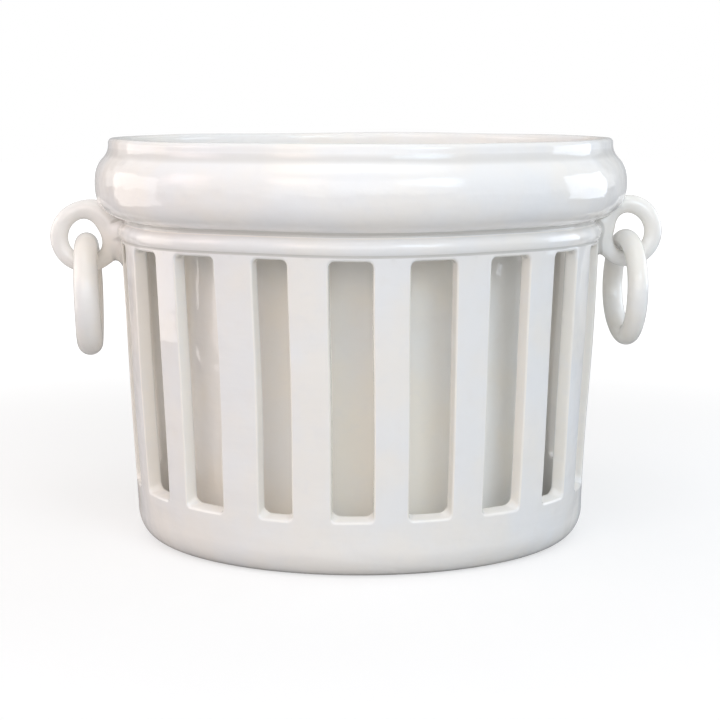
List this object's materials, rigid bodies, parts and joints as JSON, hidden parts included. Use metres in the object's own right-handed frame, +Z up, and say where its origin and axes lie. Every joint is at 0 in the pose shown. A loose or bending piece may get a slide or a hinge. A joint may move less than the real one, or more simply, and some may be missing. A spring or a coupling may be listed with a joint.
{
  "type": "openwork planter",
  "caption": "Round white glazed cachepot: a rolled collar on a tapered wall of upright slats, a smooth inner pot showing behind them, and a loose ring hanging from an ear on each side.",
  "frame": {"origin": "centre of the foot, on the surface that the planter stands on", "axes": "+Z up; +X through the right-hand ear as seen in the picture; -Y is the front of the picture"},
  "size_m": [0.3583, 0.3072, 0.23],
  "materials": {
    "wall_glaze": "glossy white glaze over pale earthenware, slightly cream where it thins at cut edges",
    "inner_glaze": "the same glossy glaze, a little greyer in the shade of the wall",
    "ring_glaze": "glossy cream white glaze on hand-rolled clay"
  },
  "bodies": {
    "planter": {"rolled_collar": "wall_glaze", "bead_moulding": "wall_glaze", "base_band": "wall_glaze", "floor_disc": "inner_glaze", "inner_pot": "inner_glaze", "ear_left": "wall_glaze", "ear_right": "wall_glaze", "slat_01": "wall_glaze", "slat_02": "wall_glaze", "slat_03": "wall_glaze", "slat_04": "wall_glaze", "slat_05": "wall_glaze", "slat_06": "wall_glaze", "slat_07": "wall_glaze", "slat_08": "wall_glaze", "slat_09": "wall_glaze", "slat_10": "wall_glaze", "slat_11": "wall_glaze", "slat_12": "wall_glaze", "slat_13": "wall_glaze", "slat_14": "wall_glaze", "slat_15": "wall_glaze", "slat_16": "wall_glaze", "slat_17": "wall_glaze", "slat_18": "wall_glaze", "slat_19": "wall_glaze"},
    "left_ring": {"ring_left": "ring_glaze"},
    "right_ring": {"ring_right": "ring_glaze"}
  },
  "joints": [
    {"name": "left_ring_swing", "type": "hinge", "parent": "planter", "child": "left_ring", "pos_m": [-0.1603, 0, 0.168], "axis": [0, 1, 0], "range_deg": [-14, 175]},
    {"name": "right_ring_swing", "type": "hinge", "parent": "planter", "child": "right_ring", "pos_m": [0.156, 0, 0.1708], "axis": [0, -1, 0], "range_deg": [-14, 170]}
  ]
}
